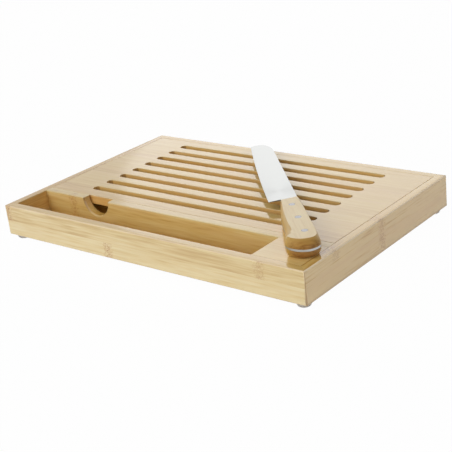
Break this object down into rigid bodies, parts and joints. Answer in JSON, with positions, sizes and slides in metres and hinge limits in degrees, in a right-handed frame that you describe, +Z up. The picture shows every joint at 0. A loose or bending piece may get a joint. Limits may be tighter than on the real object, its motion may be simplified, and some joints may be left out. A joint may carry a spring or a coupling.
{
  "type": "bread cutting board with knife",
  "caption": "Low bamboo tray with a mitred frame, a knife trough, a lift-out slotted cutting board over a crumb space, and a full-tang slicing knife lying on it.",
  "frame": {"origin": "centre of the footprint, at the level of the feet", "axes": "+X along the front rail to the right, +Y from the knife trough to the back, +Z up"},
  "size_m": [0.4, 0.26, 0.0593],
  "materials": {
    "bamboo": "sanded and lightly oiled",
    "inner_bamboo": "sanded",
    "handle_wood": "sanded smooth",
    "blade_steel": "satin",
    "rivet_metal": "satin",
    "silicone": "translucent"
  },
  "bodies": {
    "tray": {"front_rail": "bamboo", "right_rail": "bamboo", "back_rail": "bamboo", "left_rail": "bamboo", "bottom_panel": "inner_bamboo", "trough_divider": "bamboo", "trough_end_block": "bamboo", "support_strip_left": "inner_bamboo", "support_strip_right": "inner_bamboo", "foot_front_left": "silicone", "foot_front_right": "silicone", "foot_back_left": "silicone", "foot_back_right": "silicone"},
    "slotted_board": {"slotted_board": "bamboo"},
    "knife": {"knife_blade": "blade_steel", "handle_scale_upper": "handle_wood", "handle_scale_lower": "handle_wood", "handle_rivet_front": "rivet_metal", "handle_rivet_middle": "rivet_metal", "handle_rivet_rear": "rivet_metal"}
  },
  "joints": [
    {"name": "slotted_board_lift", "type": "slide", "parent": "tray", "child": "slotted_board", "axis": [0, 0, 1], "range_m": [0, 0.06]},
    {"name": "knife_lift", "type": "slide", "parent": "slotted_board", "child": "knife", "axis": [0, 0, 1], "range_m": [0, 0.08]}
  ]
}
